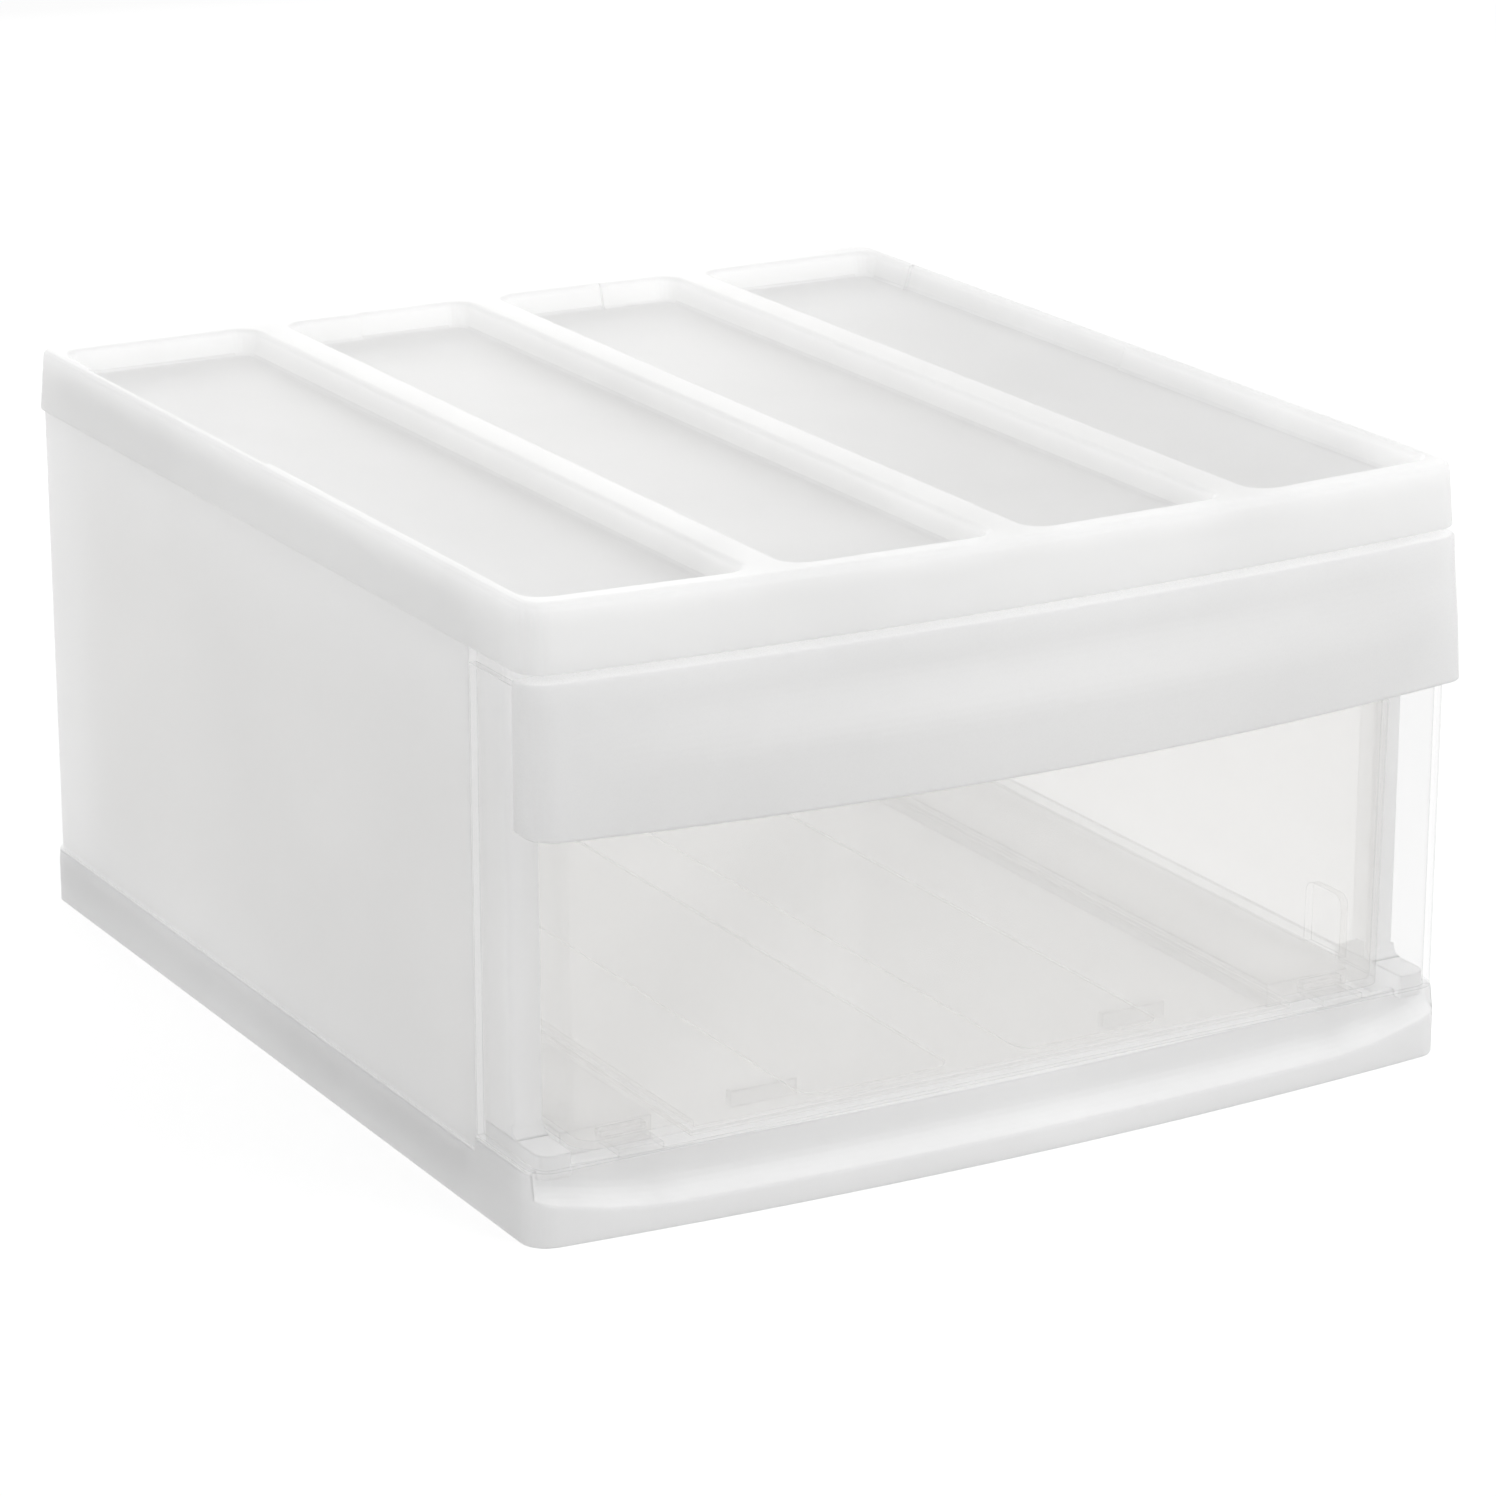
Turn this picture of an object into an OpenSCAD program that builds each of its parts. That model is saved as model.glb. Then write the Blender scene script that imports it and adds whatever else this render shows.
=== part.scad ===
// Stackable drawer box: a frosted housing of five snapped panels and a clear drawer.
// X runs across the front, Y runs from front to back, Z is up.
// The origin is at the middle of the footprint, on the surface the box stands on.

/* [Housing] */
// Width of the housing over its skirts
body_w = 340; // [300:1:400]
// Depth of the housing at its front corners
body_d = 376; // [320:1:440]
// Height of the box
body_h = 203; // [170:1:260]
// How far the front of the skirts bows out at the middle
front_bow = 8.5; // [4:0.5:14]
// Radius of the upright corners
corner_r = 9; // [6:0.5:12]
// Wall thickness of the housing panels
wall_t = 2.2; // [1.8:0.1:2.6]
// How far the side and back panels stand in from the skirts
panel_inset = 1.4; // [0.8:0.1:1.6]
// Length of the panel tongues inside the base and the cover
tongue_h = 13; // [8:0.5:16]
// How far the side panels turn in along the back
back_return = 12; // [6:0.5:24]
// Width of the flange at the front edge of each side panel
flange_w = 10.9; // [8:0.1:14]
// Size of the curved foot in front of that flange
foot_r = 4; // [1:0.5:6]
// Distance from the front plane to that flange
flange_y = 22; // [16:0.5:28]

/* [Top cover] */
// Height of the cover's skirt
cover_h = 21.5; // [18:0.5:28]
// How far the skirt draws in from its lower edge to its top
cover_draft = 1.8; // [1:0.1:2.4]
// Rounding of the cover's top edge
cover_edge_r = 2.5; // [1.5:0.1:3]
// Rounding of the cover's lower edge
cover_low_r = 0.7; // [0.3:0.1:1]
// Number of pockets in the top
pocket_count = 4; // [2:1:6]
// Depth of the pockets
pocket_depth = 9; // [5:0.5:11]
// How far the pocket walls draw in from top to floor
pocket_draft = 1.2; // [0.5:0.1:2]
// Rounding of the pockets' upper edges
pocket_edge_r = 2.2; // [1:0.1:2.4]
// Rounding between the pockets' walls and floors
pocket_floor_r = 2.5; // [1:0.1:2.5]
// Radius of the pocket corners
pocket_r = 7; // [4:0.5:9]
// Width of the beams between the pockets
beam_w = 14; // [10:0.5:20]
// Width of the rim beside the outer pockets
side_rim_w = 5; // [5:0.5:12]
// Width of the rim in front of the pockets
front_rim_w = 9; // [8:0.5:20]
// Width of the rim behind the pockets
back_rim_w = 14; // [10:0.5:20]
// How far the pocket walls step back where the feet of a box above can grip
grip_depth = 1.2; // [0.4:0.1:1.4]
// Length of that step along the back walls of the pockets
back_grip_l = 98; // [60:1:140]
// Length of that step along the side walls of the pockets
side_grip_l = 145; // [60:1:200]

/* [Base] */
// Height of the base skirt along the sides and back
base_h = 19; // [16:0.5:24]
// Height of the base at the front, under the drawer
apron_h = 23; // [21:0.5:23.5]
// Height of the thin lower edge that drops over the cover below
nest_h = 4; // [3:0.5:5]
// Height of the base floor's upper face
floor_z = 18; // [14:0.5:18.5]
// How far the base skirt draws in above its lip
base_flare = 0.8; // [0.2:0.1:1]
// Depth of the cove that runs along the front above the lip
cove_depth = 7.8; // [4:0.2:8]
// Height over which the cove turns up
cove_h = 8; // [5:0.5:9]
// Length over which the cove's ends round off
cove_end_r = 8; // [5:0.5:12]
// Height of the front lip at its middle
lip_z = 8.3; // [6:0.1:9]
// How far the lip rises towards its ends
lip_rise = 7.5; // [2:0.5:8]
// Length over which each end of the lip rises
lip_rise_l = 44; // [30:1:60]
// Rounding of the lip
lip_r = 1; // [0.5:0.1:1.5]
// Width of the two rails that carry the drawer
rail_w = 32; // [20:1:40]
// Height of the ledge that carries the front edge of each side panel
ledge_z = 28.5; // [26:0.5:30]
// Number of ribs along each side of the base
side_rib_count = 4; // [2:1:8]
// Distance from the step in the side panel to the first of those ribs
side_rib_front = 6; // [4:1:20]
// Distance from the back to the last of those ribs
side_rib_back = 36; // [24:1:60]
// Number of ribs along the back of the base
back_rib_count = 3; // [1:1:5]
// Distance from each side of the base to the outer rib behind the cove
cove_rib_in = 15; // [12:1:25]
// Distance from that rib to the inner one
cove_rib_step = 28; // [16:1:60]
// Thickness of the ribs
rib_t = 2; // [1.5:0.1:2.5]
// Distance from the top of the skirt down to the ribs along the sides and back
rib_drop = 4; // [3:0.5:6]
// Distance from the front plane to the rails
rail_y = 24; // [20:0.5:30]

/* [Drawer] */
// Depth of the tray behind the front
tray_d = 339.5; // [290:0.5:350]
// Distance from the cover's skirt down to the tray's rim
tray_rim_drop = 21.5; // [12:0.5:60]
// Wall thickness of the tray
tray_t = 2; // [1.6:0.1:2.4]
// How far each side wall of the tray leans out from floor to rim
tray_lean = 1.6; // [0.5:0.1:2]
// Height of the thicker band around the tray's rim
rim_h = 8; // [4:0.5:12]
// How far that band stands out from the tray's sides and back
rim_out = 1.4; // [0.5:0.1:1.6]
// How far the outer strips of the tray floor are raised over the rails
strip_step = 2; // [1:0.25:3]
// Radius of the tray's upright corners
tray_r = 8; // [5:0.5:10]
// Depth of the two long panels sunk into the tray floor
sunk_depth = 0.6; // [0.3:0.1:1]
// Width of each sunk panel
sunk_w = 54; // [30:1:70]
// Radius of the sunk panels' corners
sunk_r = 6; // [3:0.5:8]
// Width of the floor between the two sunk panels
sunk_gap = 26; // [10:1:40]
// Distance from the rails to the tray's side walls, and from the raised strips to the rails
rail_gap = 4; // [2:0.5:6]
// Distance from the front plane to the tray's guide pads
pad_y = 32; // [28:0.5:40]
// Length of the guide pads
pad_d = 20; // [12:0.5:30]
// Height of the guide pads
pad_h = 22; // [12:0.5:30]
// Radius of the guide pads' upper corners
pad_r = 4; // [1:0.5:5]
// Thickness of the guide pads
pad_t = 1.6; // [1:0.1:2.2]
// Thickness of the clear front
front_t = 2.5; // [2:0.1:3]
// Depth of the wings that the clear front has at each side
wing_d = 39.5; // [32:0.5:44]
// Height of the clear front's lower edge
front_low_z = 24; // [24:0.5:28]
// Width of the slots in the tray floor that take the hooks of the front
slot_w = 16; // [8:0.5:18]
// Distance from the rails' inner sides to those slots
slot_in = 7; // [4:0.5:14]
// Distance from the front plane to those slots
slot_y = 14; // [12:0.5:15]
// Length of those slots from front to back
slot_d = 3.5; // [3:0.5:7]
// Height of the hooks above the tray floor
hook_rise = 0.1; // [0:0.1:2]
// How far the drawer pulls out
travel = 300; // [150:5:300]
// Width of the drawer stops
stop_w = 24; // [10:1:40]
// Distance from the middle to each drawer stop
stop_x = 70; // [40:1:90]
// Thickness of the drawer stops
stop_t = 3; // [2:0.5:5]
// Distance from the tray's back to its stops
stop_back = 7; // [5:0.5:12]

/* [Handle] */
// How far the handle stands out at its middle from the front corners
handle_reach = 19; // [15:0.5:28]
// How far the handle stands out at its ends
handle_end_reach = 6.5; // [3:0.5:8]
// Thickness of the handle shell
handle_t = 2.5; // [2:0.1:3]
// Height of the handle at its ends
handle_h = 47; // [40:0.5:70]
// How far the lower edge sags from the ends to the middle
handle_sag = 1; // [0:0.5:8]
// Height of the handle's top edge below the cover's skirt
handle_gap = 2.5; // [1.5:0.5:5]
// Rounding of the handle's top edge
handle_edge_r = 0.8; // [0.4:0.1:1.2]
// Height over which the handle stays upright below its top edge
handle_neck = 8; // [4:0.5:12]
// Height over which the handle flares out below that
handle_flare = 22; // [14:0.5:26]

/* [Clearances] */
// Gap between housing panels that are snapped together
fit_gap = 0.3; // [0.1:0.05:0.4]
// Height of the tray above its rails
run_gap = 0.3; // [0.2:0.05:0.6]
// Gap between the drawer's wings and the side panels
slide_gap = 0.5; // [0.3:0.05:0.8]
// Gap between the tray's guide pads and the front flanges
guide_gap = 1; // [0.5:0.1:1.5]
// Gap above and below the drawer stops, and between them when the drawer is out
stop_gap = 1; // [0.5:0.1:1.5]

/* [Hidden] */

frosted = [0.93, 0.93, 0.93, 0.85];
clear = [0.86, 0.9, 0.92, 0.4];
eps = 0.05;
arc_n = 6;
bow_n = 20;
flare_n = 10;
cove_n = 5;
cove_end_n = 6;
tip_r = 1;

// Places along Y. The modules below measure Y from the front corners.
front_y = -(body_d + handle_reach) / 2 + handle_reach;
half_w = body_w / 2;
panel_x = half_w - panel_inset;
panel_y = body_d - panel_inset;
tongue_x = half_w - wall_t - fit_gap;
tongue_y = body_d - wall_t - fit_gap;
shoulder_t = wall_t + panel_x - tongue_x;
recess_x = panel_x - front_t - slide_gap;
flange_x = recess_x - flange_w;
flush_y = wing_d + slide_gap;

// Heights
cover_z = body_h - cover_h;
panel_low_z = base_h + fit_gap;
panel_top_z = cover_z - fit_gap;
cavity_z = body_h - wall_t;
nest_t = cover_draft * (1 - nest_h / cover_h) - fit_gap;
pocket_z = body_h - pocket_depth;
tongue_low_z = base_h - tongue_h;
tongue_top_z = min(cover_z + tongue_h, cavity_z - fit_gap);
plate_low_z = floor_z - wall_t;
front_top_z = cover_z - handle_gap - handle_t - fit_gap;
handle_top_z = cover_z - handle_gap;
handle_end_z = handle_top_z - handle_h;
tray_rim_z = cover_z - tray_rim_drop;
step_z = handle_end_z - fit_gap;

// Rails, tray and what holds the front to the tray
tray_x = flange_x - guide_gap - pad_t;
tray_front_y = handle_t + front_t + 2 * fit_gap;
tray_back_y = tray_front_y + tray_d;
strip_z = front_low_z + strip_step + fit_gap;
tray_low_z = strip_z - strip_step;
rail_top_z = strip_z - run_gap;
rail_out_x = tray_x - rail_gap;
rail_in_x = rail_out_x - rail_w;
strip_in_x = rail_in_x - rail_gap;
slot_x = rail_in_x + slot_in;

// Two ribs under the back of the tray meet two lugs behind the front of the base
rib_low_z = floor_z + stop_gap;
lug_top_z = tray_low_z - stop_gap;
stop_rib_y = tray_back_y - stop_back;
lug_y = stop_rib_y - travel - stop_gap - stop_t;

// Channel along the base that takes the panel tongues
channel_x = tongue_x - wall_t - fit_gap;
channel_y = tongue_y - wall_t - fit_gap;
rib_top_z = base_h - rib_drop;
channel_y0 = flush_y - slide_gap;

// Where the base draws in at its front, and where the cove ends
flare_z = lip_z + lip_rise - 1;
cove_end_x = half_w - 2 * base_flare;
cove_last_x = cove_end_x - cove_end_r / 50;
cove_low_a = 15;

// Front of the corner ledges and of the boxes under them
ledge_y0 = front_t + slide_gap;
ledge_box_y0 = corner_r + wall_t;

// Back of the handle's ends, how far the front is set back behind it, and how far its neck stands out
handle_y = corner_r;
set_back = handle_t - panel_inset + fit_gap;
neck_reach = front_bow + panel_inset - fit_gap;

function at_z(points, z) = [for (p = points) [p.x, p.y, z]];
function turned(v, a) = [v.x * cos(a) - v.y * sin(a), v.x * sin(a) + v.y * cos(a)];
function flat(p) = [p.x, p.y];
function unit(v) = v / norm(v);

// The arc that rounds corner b, between a and c, by the radius b.z
function fillet(a, b, c) =
    b.z == 0 ? [flat(b)] :
    let (u = unit(flat(a - b)), v = unit(flat(c - b)))
    let (half = acos(u * v) / 2, centre = flat(b) + unit(u + v) * b.z / sin(half))
    let (start = flat(b) + u * b.z / tan(half) - centre, side = sign(cross(v, u)))
    [for (i = [0:arc_n]) centre + turned(start, side * (180 - 2 * half) * i / arc_n)];

// An outline with rounded corners, from points of x, y and radius
function rounded(points) =
    let (n = len(points))
    [for (i = [0:n - 1]) each fillet(points[(i + n - 1) % n], points[i], points[(i + 1) % n])];

// Points on the arc about c from angle a0 to a1, from the one numbered first to the last
function arc(c, r, a0, a1, first, last) =
    [for (i = [first:last]) let (a = a0 + (a1 - a0) * i / arc_n) c + r * [cos(a), sin(a)]];

// How far a bowed front stands out at x, from 1 at the middle to 0 at the corners
function bow_share(x, half) = 1 - pow(x / half, 2);

// Plan outline with straight sides and back, a bowed front and rounded corners
function bowed(half, y0, y1, bow, r_front, r_back) =
    let (a = atan(2 * bow * (half - r_front) / pow(half, 2)))
    let (xt = half - r_front + r_front * sin(a))
    let (cy = y0 - bow * bow_share(xt, half) + r_front * cos(a), cx = half - r_front)
    concat(
        [for (i = [0:bow_n]) let (x = xt * (2 * i / bow_n - 1)) [x, y0 - bow * bow_share(x, half)]],
        arc([cx, cy], r_front, a - 90, 0, 1, arc_n),
        arc([half - r_back, y1 - r_back], r_back, 0, 90, 0, arc_n),
        arc([r_back - half, y1 - r_back], r_back, 90, 180, 0, arc_n),
        arc([-cx, cy], r_front, 180, 270 - a, 0, arc_n - 1));

// Plan outline of the skirts, drawn in by inset
function skirt(inset) =
    bowed(half_w - inset, inset, body_d - inset, front_bow, corner_r - inset, corner_r - inset);

// Front edge of the skirts' outline at x, on the bow and on the corners
function skirt_front(x) =
    let (cx = half_w - corner_r, a = atan(2 * front_bow * cx / pow(half_w, 2)))
    let (xt = cx + corner_r * sin(a), yt = -front_bow * bow_share(xt, half_w))
    abs(x) <= xt ? -front_bow * bow_share(x, half_w)
                 : yt + corner_r * cos(a) - sqrt(pow(corner_r, 2) - pow(abs(x) - cx, 2));

// A closed solid through rings of points, lowest ring first
module loft(rings) {
    n = len(rings[0]);
    m = len(rings);
    polyhedron(
        points = [for (r = rings) each r],
        faces = concat(
            [[for (i = [0:n - 1]) i]],
            [for (j = [0:m - 2]) for (i = [0:n - 1]) let (a = j * n + i, b = j * n + (i + 1) % n)
                each [[a, a + n, b + n], [a, b + n, b]]],
            [[for (i = [n - 1:-1:0]) (m - 1) * n + i]]));
}

module slab(points, z0, z1) {
    translate([0, 0, z0])
        linear_extrude(z1 - z0)
            polygon(points);
}

module block(x0, x1, y0, y1, z0, z1) {
    translate([x0, y0, z0])
        cube([x1 - x0, y1 - y0, z1 - z0]);
}

// Draws its children at both sides of the box
module both_sides() {
    children();
    mirror([1, 0, 0])
        children();
}

module place() {
    translate([0, front_y, 0])
        children();
}

// ---- Top cover ----

pocket_w = (body_w - 2 * cover_draft - 2 * side_rim_w - (pocket_count - 1) * beam_w) / pocket_count;
function pocket_x(k) = -half_w + cover_draft + side_rim_w + k * (pocket_w + beam_w);

// Outline of pocket k, drawn in by inset
function pocket(k, inset) =
    let (x0 = pocket_x(k), x1 = x0 + pocket_w, edge = cover_draft + front_rim_w + inset)
    let (y1 = body_d - back_rim_w - inset, r = pocket_r - inset)
    rounded([[x0 + inset, skirt_front(x0) + edge, r], [x1 - inset, skirt_front(x1) + edge, r],
             [x1 - inset, y1, r], [x0 + inset, y1, r]]);

// Outer shape of the shell below pocket k
function pocket_shell(k) =
    [at_z(pocket(k, pocket_draft - wall_t), pocket_z - wall_t), at_z(pocket(k, -wall_t), body_h)];

// Hollow of pocket k, rounded at the floor and at the upper edge
function pocket_hollow(k) = concat(
    [for (a = [0:30:90]) at_z(pocket(k, pocket_draft + pocket_floor_r * (1 - sin(a))),
                              pocket_z + pocket_floor_r * (1 - cos(a)))],
    [for (a = [0:22.5:90]) at_z(pocket(k, -pocket_edge_r * (1 - cos(a))),
                                body_h - pocket_edge_r * (1 - sin(a)))],
    [at_z(pocket(k, -pocket_edge_r), body_h + eps)]);

module cover_outside() {
    bend_z = body_h - cover_edge_r;
    bend_inset = cover_draft * (1 - cover_edge_r / cover_h);
    loft(concat(
        [for (a = [0:45:90]) at_z(skirt(cover_low_r * (1 - sin(a))), cover_z + cover_low_r * (1 - cos(a)))],
        [for (i = [0:3]) let (a = 30 * i)
            at_z(skirt(bend_inset + cover_edge_r * (1 - cos(a))), bend_z + cover_edge_r * sin(a))]));
}

// The pockets, with the shallow steps in their outer walls
module pockets() {
    for (k = [0:pocket_count - 1])
        loft(pocket_hollow(k));
    intersection() {
        union()
            for (k = [0:pocket_count - 1])
                translate([0, grip_depth, 0])
                    loft(pocket_hollow(k));
        block(-back_grip_l / 2, back_grip_l / 2, body_d / 2, body_d, 0, body_h + eps);
    }
    both_sides()
        intersection() {
            translate([grip_depth, 0, 0])
                loft(pocket_hollow(pocket_count - 1));
            block(0, half_w, body_d / 2, body_d / 2 + side_grip_l, 0, body_h + eps);
        }
}

module top_cover() {
    color(frosted)
        place()
            difference() {
                cover_outside();
                difference() {
                    union() {
                        slab(skirt(wall_t), cover_z - eps, tongue_top_z + fit_gap);
                        slab(skirt(wall_t + cover_draft / 2), cover_z, cavity_z);
                    }
                    for (k = [0:pocket_count - 1])
                        loft(pocket_shell(k));
                }
                pockets();
            }
}

// ---- Housing panels ----

// Plan of the right side panel: flange, step behind the drawer's wing, side, turn along the back
function side_plan(x, y, t) =
    let (return_x = panel_x - corner_r - back_return)
    rounded([[flange_x, flange_y, tip_r], [recess_x, flange_y, wall_t], [recess_x, flush_y, 0],
             [x, flush_y, 0], [x, y, corner_r - half_w + x], [return_x, y, 0], [return_x, y - t, 0],
             [x - t, y - t, corner_r - half_w + x - t], [x - t, flush_y + wall_t, 0],
             [recess_x - wall_t, flush_y + wall_t, 0], [recess_x - wall_t, flange_y + wall_t, 0],
             [flange_x, flange_y + wall_t, tip_r]]);

function back_plan(y, t) =
    let (x = panel_x - corner_r - back_return - fit_gap)
    [[-x, y - t], [x, y - t], [x, y], [-x, y]];

function side_rib_y(k) =
    let (y0 = flush_y + side_rib_front, y1 = body_d - side_rib_back)
    y0 + (y1 - y0) * k / (side_rib_count - 1);
function back_rib_x(k) = (k - (back_rib_count - 1) / 2) * body_w / (back_rib_count + 1);

// A panel standing on the base's skirt, with a tongue inside the base and one inside the cover
module panel(face, shoulder, tongue) {
    slab(face, panel_low_z, panel_top_z);
    slab(shoulder, panel_low_z, panel_low_z + wall_t);
    slab(shoulder, panel_top_z - wall_t, panel_top_z);
    slab(tongue, tongue_low_z, panel_low_z + wall_t);
    slab(tongue, panel_top_z - wall_t, tongue_top_z);
}

// A foot with a hollow curve, in the corner between the flange and the ledge
module flange_foot() {
    z = ledge_z + fit_gap;
    translate([flange_x, 0, 0])
        rotate([90, 0, 90])
            linear_extrude(flange_w)
                polygon(concat([[flange_y + eps, z], [flange_y + eps, z + foot_r]],
                               [for (a = [0:15:90]) [flange_y - foot_r + foot_r * cos(a),
                                                     z + foot_r - foot_r * sin(a)]]));
}

module side_panel() {
    flange_foot();
    difference() {
        panel(side_plan(panel_x, panel_y, wall_t), side_plan(panel_x, panel_y, shoulder_t),
              side_plan(tongue_x, tongue_y, wall_t));
        block(0, half_w, 0, flush_y - eps, 0, ledge_z + fit_gap);
        block(0, channel_x + fit_gap, 0, flush_y + 2 * wall_t, 0, panel_low_z);
        block(0, half_w, 0, flush_y + 2 * wall_t, pocket_z - wall_t - fit_gap, body_h);
        block(0, recess_x - wall_t, flange_y + wall_t, flush_y + wall_t, 0, body_h);
        for (k = [0:side_rib_count - 1])
            block(channel_x - eps, tongue_x + eps, side_rib_y(k) - fit_gap,
                  side_rib_y(k) + rib_t + fit_gap, 0, rib_top_z + fit_gap);
    }
}

module right_side_panel() {
    color(frosted)
        place()
            side_panel();
}

module left_side_panel() {
    color(frosted)
        place()
            mirror([1, 0, 0])
                side_panel();
}

module back_panel() {
    color(frosted)
        place()
            difference() {
                panel(back_plan(panel_y, wall_t), back_plan(panel_y, shoulder_t),
                      back_plan(tongue_y, wall_t));
                for (k = [0:back_rib_count - 1])
                    block(back_rib_x(k) - fit_gap, back_rib_x(k) + rib_t + fit_gap,
                          channel_y - eps, tongue_y + eps, 0, rib_top_z + fit_gap);
            }
}

// ---- Base ----

// Share of the cove's depth at x, which rounds off at its ends
function cove_share(x) =
    let (u = min(1, max(0, (cove_end_x - abs(x)) / cove_end_r)))
    sqrt(u * (2 - u));
function cove_in(x) = cove_depth * cove_share(x);

// Front face of the base below the lip at x. Its ends are tucked into the corners of the skirt.
function apron_front(x) = skirt_front(x) + fit_gap * (1 - cove_share(x));

// Height of the lip at x
function lip_at(x) =
    lip_z + lip_rise * pow(max(0, (abs(x) - half_w + lip_rise_l) / lip_rise_l), 1.6);

// Curve of the cove at x, from the lip back and up, moved in by t
function cove_line(x, t) =
    let (y = apron_front(x) + t, z = lip_at(x) - t)
    let (h = min(cove_h, apron_h - lip_at(x) - fit_gap))
    [for (i = [0:cove_n]) let (a = cove_low_a + (90 - cove_low_a) * i / cove_n)
        [x, y + cove_in(x) * sin(a), z + h * (1 - cos(a))]];

// Section of the front of the base at x: up the inside, over the top, down the cove and the lip
function apron_section(x) =
    let (y = apron_front(x), z = lip_at(x), d = cove_in(x), r = lip_r * cove_share(x))
    let (line = cove_line(x, 0))
    concat([[x, y + wall_t, 0], [x, y + wall_t, z - wall_t]], cove_line(x, wall_t),
           [[x, y + wall_t + d, apron_h], [x, y + d, apron_h]],
           [for (i = [cove_n:-1:0]) line[i]],
           [for (a = [0:45:90]) [x, y + r * (1 - sin(a)), z - r * (1 - cos(a))]],
           [[x, y, 0]]);

// Places of the sections, closer together where the cove rounds off
function apron_places() =
    let (end = [for (i = [0:cove_end_n]) cove_last_x - cove_end_r * pow(i / cove_end_n, 2)])
    let (x = end[cove_end_n])
    concat([for (v = end) -v], [for (i = [1:bow_n]) x * (2 * i / bow_n - 1)],
           [for (i = [cove_end_n - 1:-1:0]) end[i]]);

module apron() {
    loft([for (x = apron_places()) apron_section(x)]);
}

// A raised box of the base's wall thickness, open below
module raised(x0, x1, y0, y1, z) {
    difference() {
        block(x0, x1, y0, y1, plate_low_z, z);
        block(x0 + wall_t, x1 - wall_t, y0 + wall_t, y1 - wall_t, plate_low_z - eps, z - wall_t);
    }
}

module base_skirt() {
    difference() {
        union() {
            difference() {
                loft([at_z(skirt(0), 0), at_z(skirt(0), flare_z), at_z(skirt(base_flare), apron_h)]);
                slab(skirt(wall_t), nest_h - eps, apron_h + eps);
                block(-cove_last_x + fit_gap, cove_last_x - fit_gap, -body_d, corner_r - wall_t,
                      -eps, apron_h + eps);
            }
            apron();
        }
        slab(skirt(nest_t), -eps, nest_h);
        block(-body_w, body_w, channel_y0, body_d + eps, base_h, apron_h + eps);
    }
}

// Outline of what lies inside the channel, drawn in by inset
function channel_plan(inset, y0) =
    let (x = channel_x - inset, y = channel_y - inset, r = corner_r - half_w + channel_x)
    rounded([[-x, y0, 0], [x, y0, 0], [x, y, max(r - inset, tip_r)], [-x, y, max(r - inset, tip_r)]]);

module base_plate() {
    difference() {
        union() {
            intersection() {
                slab(skirt(wall_t - eps), plate_low_z, floor_z);
                block(-half_w, half_w, -body_d, channel_y0, 0, body_h);
            }
            slab(channel_plan(0, channel_y0 - eps), plate_low_z, floor_z);
        }
        // The front of the plate stops in the wall behind the cove
        slab(concat([for (x = apron_places()) [x, apron_front(x) + cove_in(x) + wall_t / 2]],
                    [[cove_last_x, -body_d / 4], [-cove_last_x, -body_d / 4]]), 0, body_h);
    }
    difference() {
        slab(channel_plan(0, channel_y0), nest_h, floor_z);
        slab(channel_plan(wall_t, channel_y0 - eps), nest_h - eps, floor_z + eps);
    }
}

// Outline of the right ledge, rounded where the clear front turns into its wing
function ledge_plan() =
    let (r = corner_r - panel_inset - front_t - slide_gap)
    rounded([[flange_x, ledge_y0, tip_r], [recess_x, ledge_y0, r], [recess_x, channel_y0, 0],
             [flange_x, channel_y0, 0]]);

module base_floor() {
    difference() {
        union() {
            base_plate();
            both_sides() {
                slab(ledge_plan(), apron_h - wall_t, ledge_z);
                block(flange_x, recess_x, ledge_box_y0, channel_y0, plate_low_z, ledge_z);
            }
        }
        both_sides() {
            block(rail_in_x + wall_t, rail_out_x - wall_t, rail_y + wall_t,
                  channel_y - 3 * wall_t, 0, body_h);
            block(flange_x + wall_t, recess_x - wall_t, ledge_box_y0 + wall_t,
                  channel_y0 - wall_t, 0, ledge_z - wall_t);
        }
    }
    both_sides()
        raised(rail_in_x, rail_out_x, rail_y, channel_y - 2 * wall_t, rail_top_z);
}

module base_ribs() {
    both_sides()
        for (k = [0:side_rib_count - 1])
            block(channel_x - wall_t, half_w - wall_t / 2, side_rib_y(k), side_rib_y(k) + rib_t,
                  nest_h, rib_top_z);
    for (k = [0:back_rib_count - 1])
        block(back_rib_x(k), back_rib_x(k) + rib_t, channel_y - wall_t, body_d - wall_t / 2,
              nest_h, rib_top_z);
    // Ribs under the cove
    both_sides()
        for (x = [half_w - cove_rib_in, half_w - cove_rib_in - cove_rib_step])
            translate([x - rib_t / 2, 0, 0])
                rotate([90, 0, 90])
                    linear_extrude(rib_t)
                        polygon(concat(
                            [[apron_front(x) + wall_t / 2, nest_h],
                             [apron_front(x) + wall_t / 2, lip_at(x) - wall_t / 2]],
                            [for (p = cove_line(x, wall_t / 2)) if (p.z < plate_low_z) [p.y, p.z]],
                            [[apron_front(x) + wall_t / 2 + cove_in(x), plate_low_z + eps],
                             [rail_y, plate_low_z + eps], [rail_y, nest_h]]));
}

module base_frame() {
    color(frosted)
        place() {
            base_skirt();
            base_floor();
            base_ribs();
            both_sides()
                block(stop_x - stop_w / 2, stop_x + stop_w / 2, lug_y, lug_y + stop_t,
                      floor_z - eps, lug_top_z);
        }
}

// ---- Drawer ----

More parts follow.
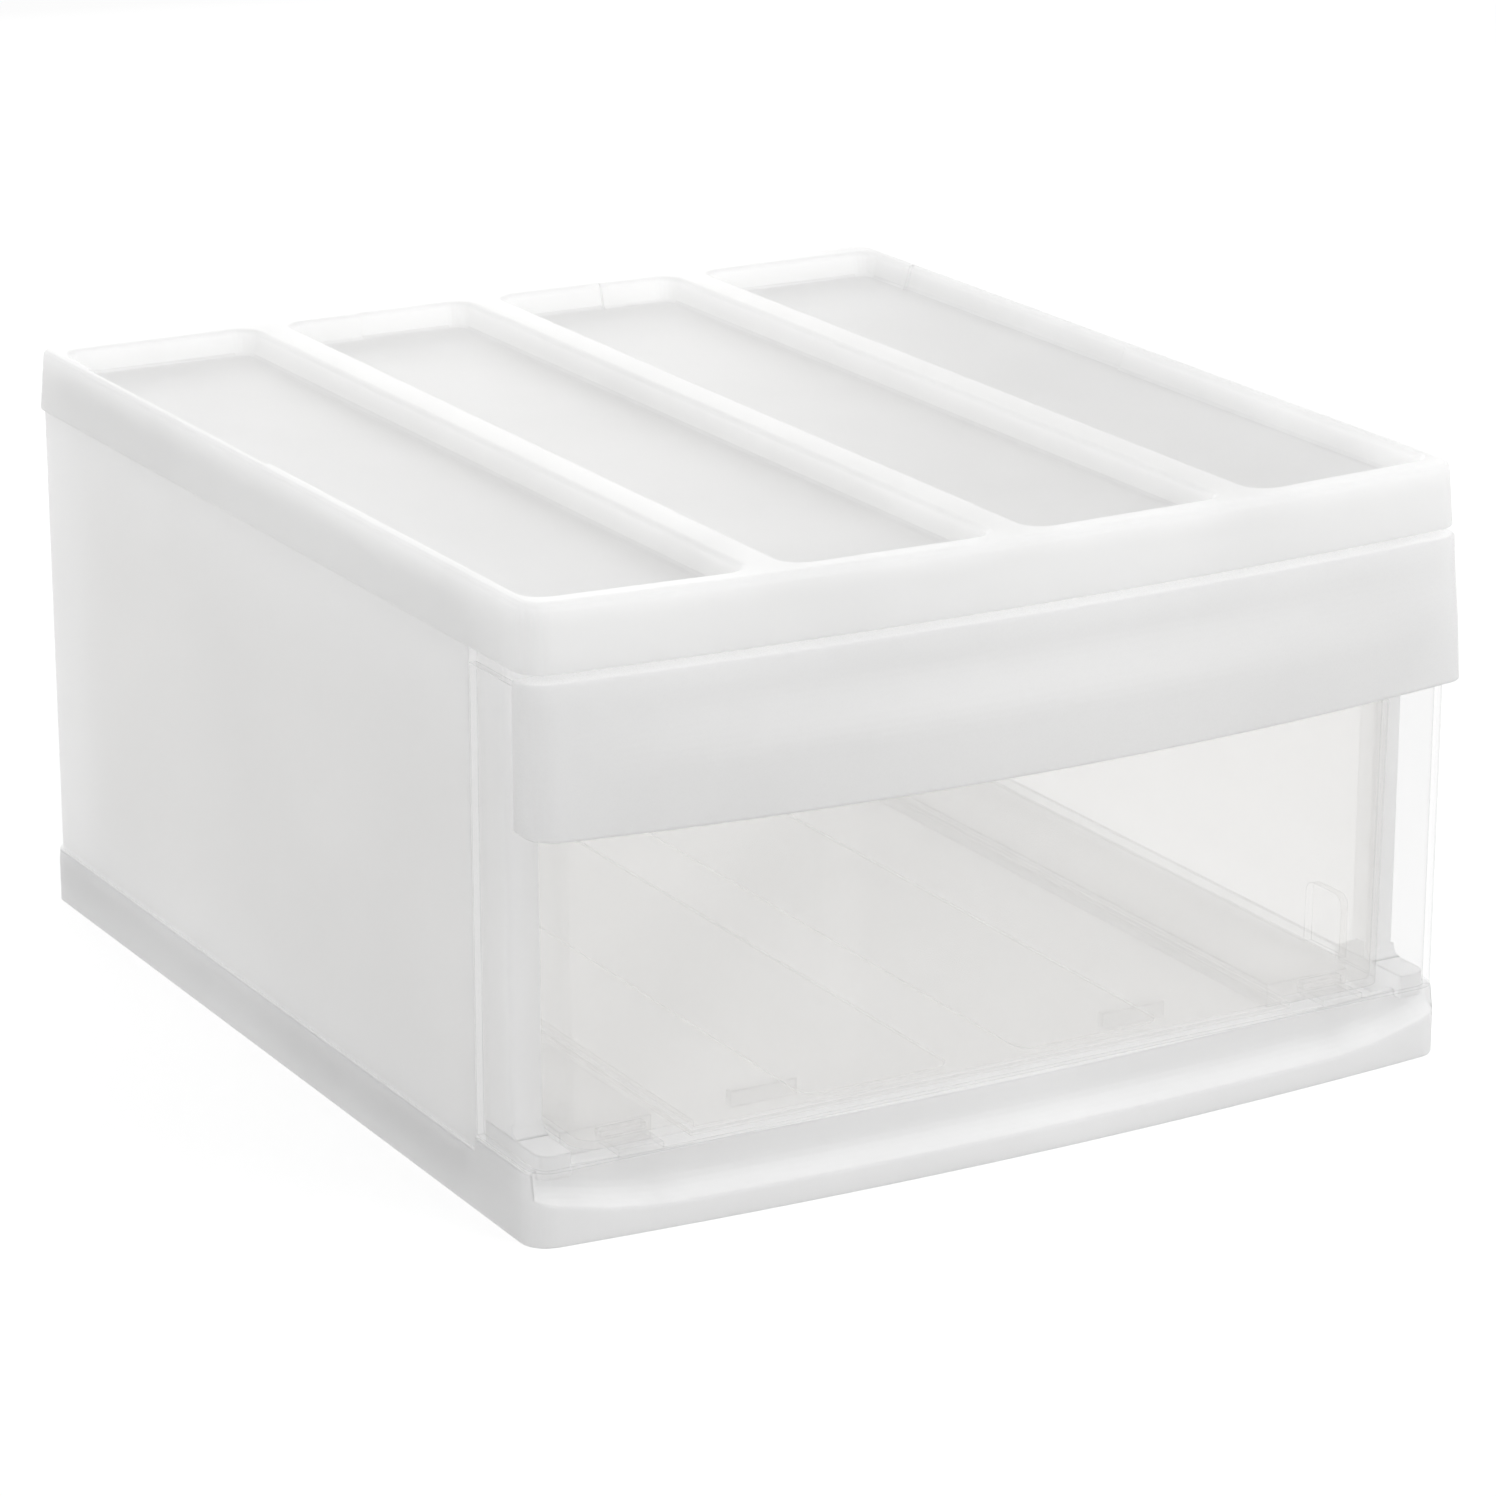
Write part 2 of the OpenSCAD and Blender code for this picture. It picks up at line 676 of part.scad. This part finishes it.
// Plan of the tray drawn in by inset, its sides and back leaning out by lean
function tray_plan(inset, lean, front_inset) =
    let (r = tray_r - max(inset, 0), x = tray_x - tray_lean + lean - inset)
    let (y0 = tray_front_y + front_inset, y1 = tray_back_y - tray_lean + lean - inset)
    rounded([[-x, y0, r], [x, y0, r], [x, y1, r], [-x, y1, r]]);

// Outline of a sunk panel in the right half of the tray floor
function sunk_plan() =
    let (x0 = sunk_gap / 2, x1 = sunk_gap / 2 + sunk_w, r = sunk_r, y0 = tray_front_y + tray_t + r)
    let (y1 = tray_back_y - tray_lean - tray_t - r)
    rounded([[x0, y0, r], [x1, y0, r], [x1, y1, r], [x0, y1, r]]);

// A pad on the tray's side that runs along the front flange, rounded at its top
module guide_pad() {
    x0 = tray_x - tray_lean - tray_t / 2;
    translate([x0, 0, 0])
        rotate([90, 0, 90])
            linear_extrude(tray_x + pad_t - x0)
                polygon(rounded([[pad_y, strip_z, 0], [pad_y + pad_d, strip_z, 0],
                                 [pad_y + pad_d, strip_z + pad_h, pad_r],
                                 [pad_y, strip_z + pad_h, pad_r]]));
}

module tray_outside() {
    rim_z = tray_rim_z - rim_h;
    rim_lean = tray_lean * (rim_z - strip_z) / (tray_rim_z - strip_z);
    loft([at_z(tray_plan(0, 0, 0), strip_z), at_z(tray_plan(0, tray_lean, 0), tray_rim_z)]);
    loft([at_z(tray_plan(-rim_out, rim_lean, tray_t / 2), rim_z),
          at_z(tray_plan(-rim_out, tray_lean, tray_t / 2), tray_rim_z)]);
    block(-strip_in_x, strip_in_x, tray_front_y, tray_back_y - tray_lean - tray_t,
          tray_low_z, strip_z + eps);
    both_sides() {
        guide_pad();
        block(stop_x - stop_w / 2, stop_x + stop_w / 2, stop_rib_y, stop_rib_y + stop_t,
              rib_low_z, tray_low_z + eps);
    }
}

module drawer_tray() {
    color(clear)
        place()
            difference() {
                tray_outside();
                loft([at_z(tray_plan(tray_t, 0, tray_t), strip_z + tray_t),
                      at_z(tray_plan(tray_t, tray_lean, tray_t), tray_rim_z + eps)]);
                block(-strip_in_x + tray_t, strip_in_x - tray_t, tray_front_y + tray_t,
                      tray_back_y - tray_lean - 2 * tray_t, tray_low_z + tray_t, strip_z + tray_t + eps);
                both_sides() {
                    block(slot_x, slot_x + slot_w, slot_y, slot_y + slot_d,
                          strip_z - eps, strip_z + tray_t + eps);
                    slab(sunk_plan(), tray_low_z + tray_t - sunk_depth, strip_z + tray_t);
                }
            }
}

// Plan of the clear front below the handle: a plate with a wing at each side
function front_plan(t) =
    let (x = panel_x, r = corner_r - panel_inset)
    rounded([[-x, wing_d, 0], [-x, 0, r], [x, 0, r], [x, wing_d, 0],
             [x - front_t, wing_d, 0], [x - front_t, handle_y + t, 0],
             [x - t, handle_y + t, 0], [x - t, t, r - t], [-x + t, t, r - t],
             [-x + t, handle_y + t, 0], [-x + front_t, handle_y + t, 0], [-x + front_t, wing_d, 0]]);

// Plan of the clear front behind the handle, set back to let the handle stand in front of it
function front_top_plan(s) =
    let (x = panel_x, r = corner_r - panel_inset, t = front_t + s)
    rounded([[-x, wing_d, 0], [-x, handle_y + fit_gap, 0], [-x + s, handle_y + fit_gap, 0],
             [-x + s, s, r - s], [x - s, s, r - s], [x - s, handle_y + fit_gap, 0],
             [x, handle_y + fit_gap, 0], [x, wing_d, 0], [x - front_t, wing_d, 0],
             [x - front_t, handle_y + t, 0], [x - t, handle_y + t, 0], [x - t, t, r - t],
             [-x + t, t, r - t], [-x + t, handle_y + t, 0], [-x + front_t, handle_y + t, 0],
             [-x + front_t, wing_d, 0]]);

module front_hook() {
    x0 = slot_x + fit_gap;
    x1 = slot_x + slot_w - fit_gap;
    y1 = slot_y + slot_d - fit_gap;
    block(x0, x1, front_t - eps, y1, front_low_z, strip_z - fit_gap);
    block(x0, x1, slot_y + fit_gap, y1, front_low_z, strip_z + tray_t + hook_rise);
}

module drawer_front() {
    color(clear)
        place() {
            slab(front_plan(front_t), front_low_z, step_z);
            slab(front_plan(front_t + set_back), step_z - front_t, step_z);
            slab(front_top_plan(set_back), step_z - front_t, front_top_z);
            both_sides()
                front_hook();
        }
}

// ---- Handle ----

// Share of the handle's flare at height z, from 0 at the neck to 1 at the lip
function flare(z) =
    let (u = min(1, max(0, (handle_top_z - handle_neck - z) / handle_flare)))
    u * u * (3 - 2 * u);

// Outline of the handle at height z. Its ends lean out evenly, its middle follows the flare.
function handle_ring(z, inset, y1) =
    let (y0 = -panel_inset - (handle_end_reach - panel_inset) * min(1, (handle_top_z - z) / handle_h))
    let (mid = neck_reach + (handle_reach - neck_reach) * flare(z))
    at_z(bowed(half_w - inset, y0 + inset, y1, mid + y0, corner_r - inset, 0.01), z);

module handle_band() {
    low_z = handle_end_z - handle_sag;
    heights = [for (i = [0:flare_n]) handle_top_z - handle_neck - handle_flare * (1 - i / flare_n)];
    color(frosted)
        place()
            difference() {
                loft(concat([handle_ring(low_z, 0, handle_y)],
                            [for (z = heights) handle_ring(z, 0, handle_y)],
                            [for (a = [0:30:90]) handle_ring(handle_top_z - handle_edge_r * (1 - sin(a)),
                                                             handle_edge_r * (1 - cos(a)), handle_y)]));
                loft(concat([handle_ring(low_z - eps, handle_t, handle_y + eps)],
                            [for (z = heights) handle_ring(z, handle_t, handle_y + eps)],
                            [handle_ring(handle_top_z - handle_t, handle_t, handle_y + eps)]));
                // The lower edge sags towards the middle
                translate([0, handle_y + eps, 0])
                    rotate([90, 0, 0])
                        linear_extrude(body_d / 4)
                            polygon(concat(
                                [for (i = [0:bow_n]) let (x = half_w * (2 * i / bow_n - 1))
                                    [x, handle_end_z - handle_sag * bow_share(x, half_w)]],
                                [[half_w, 0], [-half_w, 0]]));
            }
}

top_cover();
base_frame();
left_side_panel();
right_side_panel();
back_panel();
drawer_tray();
drawer_front();
handle_band();
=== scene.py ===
import bpy, math
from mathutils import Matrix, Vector

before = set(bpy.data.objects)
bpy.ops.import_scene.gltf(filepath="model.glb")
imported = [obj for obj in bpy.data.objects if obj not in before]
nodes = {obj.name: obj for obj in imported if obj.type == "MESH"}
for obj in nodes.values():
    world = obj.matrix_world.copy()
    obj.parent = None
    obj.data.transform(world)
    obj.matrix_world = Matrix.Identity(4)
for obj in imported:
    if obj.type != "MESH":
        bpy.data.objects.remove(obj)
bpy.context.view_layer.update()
scene = bpy.context.scene

# ------------------------------------------------------------------ camera
# The photograph's viewpoint in metres and radians, fitted to the outline of the box.
CAMERA_AT = (-0.84724, -1.50040, 0.63859)
HEADING, PITCH = 0.5173, 0.3117
LENS_MM, SENSOR_MM = 127.756, 36.0
CLIP_START, CLIP_END = 0.05, 60.0


def add_camera():
    data = bpy.data.cameras.new("camera")
    data.sensor_width = SENSOR_MM
    data.lens = LENS_MM
    data.clip_start = CLIP_START
    data.clip_end = CLIP_END
    camera = bpy.data.objects.new("camera", data)
    scene.collection.objects.link(camera)
    forward = Vector((math.sin(HEADING) * math.cos(PITCH),
                      math.cos(HEADING) * math.cos(PITCH),
                      -math.sin(PITCH)))
    camera.location = CAMERA_AT
    camera.rotation_euler = forward.to_track_quat("-Z", "Y").to_euler()
    scene.camera = camera


add_camera()


# ------------------------------------------------------------------ node helpers
class Nodes:
    """A small builder for the node tree of a material or the world."""

    def __init__(self, owner, output):
        owner.use_nodes = True
        self.owner = owner
        self.tree = owner.node_tree
        self.tree.nodes.clear()
        self.out = self.node(output)

    def node(self, kind, **props):
        n = self.tree.nodes.new(kind)
        for key, value in props.items():
            setattr(n, key, value)
        return n

    def put(self, socket, value):
        if isinstance(value, bpy.types.NodeSocket):
            self.tree.links.new(value, socket)
        else:
            socket.default_value = value

    def math(self, operation, a, b=None, c=None, clamp=False):
        n = self.node("ShaderNodeMath", operation=operation, use_clamp=clamp)
        for socket, value in zip(n.inputs, (a, b, c)):
            if value is not None:
                self.put(socket, value)
        return n.outputs[0]

    def coords(self):
        return self.node("ShaderNodeTexCoord").outputs["Object"]

    def height(self, vector):
        """The Z part of a vector."""
        n = self.node("ShaderNodeSeparateXYZ")
        self.put(n.inputs[0], vector)
        return n.outputs["Z"]

    def noise(self, vector, scale, detail=3.0, rough=0.5, distortion=0.0):
        n = self.node("ShaderNodeTexNoise")
        self.put(n.inputs["Vector"], vector)
        n.inputs["Scale"].default_value = scale
        n.inputs["Detail"].default_value = detail
        n.inputs["Roughness"].default_value = rough
        n.inputs["Distortion"].default_value = distortion
        return n.outputs["Fac"]

    def ramp(self, factor, *stops):
        """A colour for each factor, from stops that are (position, colour or grey)."""
        n = self.node("ShaderNodeValToRGB")
        elements = n.color_ramp.elements
        while len(elements) < len(stops):
            elements.new(0.5)
        for element, (position, colour) in zip(elements, stops):
            element.position = position
            element.color = (*colour, 1.0) if isinstance(colour, tuple) else (*[colour] * 3, 1.0)
        self.put(n.inputs["Fac"], factor)
        return n.outputs["Color"]

    def range(self, value, from_min, from_max, to_min, to_max):
        n = self.node("ShaderNodeMapRange")
        names = ("Value", "From Min", "From Max", "To Min", "To Max")
        for name, number in zip(names, (value, from_min, from_max, to_min, to_max)):
            self.put(n.inputs[name], number)
        return n.outputs[0]

    def bump(self, height, strength, distance, normal=None):
        n = self.node("ShaderNodeBump")
        n.inputs["Strength"].default_value = strength
        n.inputs["Distance"].default_value = distance
        self.put(n.inputs["Height"], height)
        if normal is not None:
            self.put(n.inputs["Normal"], normal)
        return n.outputs[0]

    def bevel(self, radius):
        """The normal with the sharp corners rounded over, as on a moulding."""
        n = self.node("ShaderNodeBevel", samples=4)
        n.inputs["Radius"].default_value = radius
        return n.outputs[0]

    def edges(self, rounded, gain):
        """How near a point is to a corner: 0 on the open faces, up to 1 on the corners."""
        geometry = self.node("ShaderNodeNewGeometry")
        dot = self.node("ShaderNodeVectorMath", operation="DOT_PRODUCT")
        self.put(dot.inputs[0], rounded)
        self.put(dot.inputs[1], geometry.outputs["Normal"])
        turn = self.math("SUBTRACT", 1.0, dot.outputs["Value"])
        return self.math("MULTIPLY", turn, gain, clamp=True)

    def backdrop_rays(self):
        """1 for the rays that show the backdrop, 0 for those that only carry its light."""
        path = self.node("ShaderNodeLightPath")
        seen = self.math("ADD", path.outputs["Is Camera Ray"],
                         path.outputs["Is Glossy Ray"], clamp=True)
        return self.math("ADD", seen, path.outputs["Is Transmission Ray"], clamp=True)

    def mix(self, factor, a, b):
        n = self.node("ShaderNodeMixShader")
        self.put(n.inputs[0], factor)
        self.tree.links.new(a, n.inputs[1])
        self.tree.links.new(b, n.inputs[2])
        return n.outputs[0]

    def done(self, shader):
        self.tree.links.new(shader, self.out.inputs["Surface"])
        return self.owner


def material(name):
    return Nodes(bpy.data.materials.new(name), "ShaderNodeOutputMaterial")


# ------------------------------------------------------------------ plastics
PLASTIC_IOR = 1.49
# The index that a ray meets on its way out of the plastic.
INSIDE_IOR = 0.6667


def painted_pocket_shade(k, tint, vector, below, shade):
    """Painted shade: the tint, darker by shade on the level faces lower than below, such as the
    pocket floors.
    """
    slope = k.height(k.node("ShaderNodeNewGeometry").outputs["Normal"])
    level = k.math("GREATER_THAN", k.math("MULTIPLY", slope, slope), 0.5)
    low = k.math("LESS_THAN", k.height(vector), below)
    grey = k.node("ShaderNodeVectorMath", operation="MULTIPLY")
    k.put(grey.inputs[0], tint)
    k.put(grey.inputs[1], k.ramp(k.math("MULTIPLY", level, low), (0.0, 1.0), (1.0, shade)))
    return grey.outputs["Vector"]


def frosted(name, colour, through, rough=0.36, seed=0.0, soft=0.0008, painted_floor_shade=None):
    """Milky plastic: a satin skin over a body that lets much of the light through.

    through is the share of light that passes, and soft is the radius of its corners.
    The last argument holds a height, and the painted shade of the level faces below it: a darker
    tint that stands in for the shade in recesses such as pockets."""
    k = material(name)
    vector = k.coords()
    cloud = k.noise(vector, 9.0 + seed, 4.0, 0.55, 0.4)
    grain = k.noise(vector, 1800.0, 2.0, 0.6)
    pores = k.noise(vector, 2600.0, 2.0, 0.5)
    dim = tuple(c * 0.985 for c in colour)
    bright = tuple(min(c * 1.01, 1.0) for c in colour)
    tint = k.ramp(cloud, (0.3, dim), (0.7, bright))
    # Painted shade: the level faces low in the part are tinted darker.
    if painted_floor_shade:
        tint = painted_pocket_shade(k, tint, vector, *painted_floor_shade)
    rounded = k.bevel(soft)
    grained = k.bump(grain, 0.06, 0.0002, rounded)
    skin = k.node("ShaderNodeBsdfPrincipled")
    k.put(skin.inputs["Base Color"], tint)
    k.put(skin.inputs["Roughness"], k.range(grain, 0.3, 0.7, rough - 0.04, rough + 0.05))
    skin.inputs["IOR"].default_value = PLASTIC_IOR
    k.put(skin.inputs["Normal"], k.bump(pores, 0.06, 0.0001, grained))
    body = k.node("ShaderNodeBsdfTranslucent")
    k.put(body.inputs["Color"], tint)
    k.put(body.inputs["Normal"], rounded)
    return k.done(k.mix(through, skin.outputs[0], body.outputs[0]))


def matt_band(k, vector, wave, bottom, top):
    """The further haze of a matt texture moulded into the faces between two heights."""
    height = k.height(vector)
    above = k.math("GREATER_THAN", height, bottom)
    below = k.math("LESS_THAN", height, top)
    texture = k.range(wave, 0.0, 1.0, 0.17, 0.23)
    return k.math("MULTIPLY", k.math("MULTIPLY", above, below), texture)


def clear(name, tint, haze, rough=0.02, matt=None):
    """Clear plastic: both faces of each wall mirror by Fresnel, and the body is a little hazy.

    matt holds the lowest and highest height of a surface with a matt texture."""
    k = material(name)
    vector = k.coords()
    wave = k.noise(vector, 14.0, 3.0, 0.5, 0.6)
    scuff = k.noise(vector, 420.0, 4.0, 0.65)

    # The wall's inner side is seen from inside the plastic, so its index is turned over.
    inside = k.node("ShaderNodeNewGeometry").outputs["Backfacing"]
    mirror = k.node("ShaderNodeFresnel")
    k.put(mirror.inputs["IOR"],
          k.math("MULTIPLY_ADD", inside, INSIDE_IOR - PLASTIC_IOR, PLASTIC_IOR))
    gloss = k.node("ShaderNodeBsdfAnisotropic")
    k.put(gloss.inputs["Roughness"], k.range(scuff, 0.35, 0.75, rough, rough + 0.05))
    k.put(gloss.inputs["Normal"], k.bump(wave, 0.05, 0.001))

    # A wall seen along its length is deeper, so it takes more of the light.
    slant = k.node("ShaderNodeLayerWeight")
    slant.inputs["Blend"].default_value = 0.35
    deep = tuple(c * 0.975 for c in tint)
    see = k.node("ShaderNodeBsdfTransparent")
    k.put(see.inputs["Color"], k.ramp(slant.outputs["Facing"], (0.35, tint), (0.95, deep)))

    # Painted highlight: the corners take more of the milky body than the open faces do, which
    # stands in for the light that the rounded edges of a moulding catch.
    body = k.node("ShaderNodeBsdfTranslucent")
    k.put(body.inputs["Color"],
          k.ramp(wave, (0.3, (0.95, 0.95, 0.945)), (0.7, (0.97, 0.97, 0.965))))
    painted_edge_highlight = k.edges(k.bevel(0.0007), 2.2)
    haze_and_painted_highlight = k.math("MULTIPLY_ADD", painted_edge_highlight, 0.30, haze, clamp=True)
    if matt:
        haze_and_painted_highlight = k.math("ADD", haze_and_painted_highlight, matt_band(k, vector, wave, *matt), clamp=True)
    # The body's share holds the haze, the matt texture and the painted highlight on the corners.
    misty = k.mix(haze_and_painted_highlight, see.outputs[0], body.outputs[0])
    return k.done(k.mix(mirror.outputs[0], misty, gloss.outputs[0]))


# Heights in metres: just above the pocket floors, below which the cover's level faces take a
# painted shade, and about the tray's raised floor strips.
POCKET_FLOORS = 0.1955
FLOOR_STRIPS = (0.0252, 0.0261)

shell = frosted("frosted_shell", (0.991, 0.991, 0.991), 0.79)
base = frosted("frosted_base", (0.975, 0.975, 0.975), 0.68, seed=0.4, soft=0.0012)
# The cover's pocket floors take a painted shade, 5 % darker than its other faces.
cover = frosted("frosted_cover", (0.986, 0.986, 0.985), 0.73, rough=0.34, seed=0.7,
                painted_floor_shade=(POCKET_FLOORS, 0.95))
band = frosted("frosted_band", (0.992, 0.992, 0.992), 0.71, rough=0.28, seed=1.9, soft=0.0016)
clear_front = clear("clear_front", (0.991, 0.991, 0.991), 0.02)
clear_tray = clear("clear_tray", (0.998, 0.996, 0.993), 0.04, rough=0.03, matt=FLOOR_STRIPS)

PLASTICS = {
    "top_cover": cover,
    "base_frame": base,
    "left_side_panel": shell,
    "right_side_panel": shell,
    "back_panel": shell,
    "handle_band": band,
    "drawer_tray": clear_tray,
    "drawer_front": clear_front,
}
for piece, plastic in PLASTICS.items():
    slots = nodes[piece].data.materials
    slots.clear()
    slots.append(plastic)

# ------------------------------------------------------------------ floor
FLOOR_REACH = 6.0
# The backdrop's own light, which makes the floor near white and leaves the shadow in it.
FLOOR_GLOW = 0.79


def floor_material():
    k = material("floor")
    paper = k.node("ShaderNodeBsdfDiffuse")
    mottle = k.noise(k.coords(), 3.0, 3.0)
    k.put(paper.inputs["Color"], k.ramp(mottle, (0.3, 0.32), (0.7, 0.34)))
    glow = k.node("ShaderNodeEmission")
    k.put(glow.inputs["Strength"], k.math("MULTIPLY", k.backdrop_rays(), FLOOR_GLOW))
    both = k.node("ShaderNodeAddShader")
    k.put(both.inputs[0], paper.outputs[0])
    k.put(both.inputs[1], glow.outputs[0])
    return k.done(both.outputs[0])


def add_floor():
    r = FLOOR_REACH
    mesh = bpy.data.meshes.new("floor")
    mesh.from_pydata([(-r, -r, 0), (r, -r, 0), (r, r, 0), (-r, r, 0)], [], [(0, 1, 2, 3)])
    mesh.materials.append(floor_material())
    floor = bpy.data.objects.new("floor", mesh)
    scene.collection.objects.link(floor)


add_floor()

# ------------------------------------------------------------------ light
# The world is white where it is seen, and lights the box with this strength.
AMBIENT = 0.53
LAMPS_AIM = (0, 0, 0.1)


def add_world():
    world = bpy.data.worlds.new("studio")
    scene.world = world
    k = Nodes(world, "ShaderNodeOutputWorld")
    sky = k.node("ShaderNodeBackground")
    sky.inputs["Color"].default_value = (1, 1, 1, 1)
    k.put(sky.inputs["Strength"],
          k.math("MULTIPLY_ADD", k.backdrop_rays(), 1.0 - AMBIENT, AMBIENT))
    k.done(sky.outputs[0])


def add_lamp(name, at, size, power):
    data = bpy.data.lights.new(name, "AREA")
    data.shape = "RECTANGLE"
    data.size, data.size_y = size
    data.energy = power
    lamp = bpy.data.objects.new(name, data)
    scene.collection.objects.link(lamp)
    lamp.location = at
    lamp.rotation_euler = (Vector(LAMPS_AIM) - Vector(at)).to_track_quat("-Z", "Y").to_euler()


add_world()
add_lamp("top_softbox", (0.55, -1.0, 1.5), (0.9, 0.9), 6.6)
add_lamp("right_softbox", (1.1, -1.7, 1.3), (1.2, 1.2), 4.0)
add_lamp("back_softbox", (0.3, 1.7, 0.7), (1.4, 0.8), 9.5)

# Light passes many thin walls of frosted and clear plastic before it leaves the box.
scene.cycles.max_bounces = 32
scene.cycles.diffuse_bounces = 12
scene.cycles.transparent_max_bounces = 32
scene.view_settings.view_transform = "Standard"
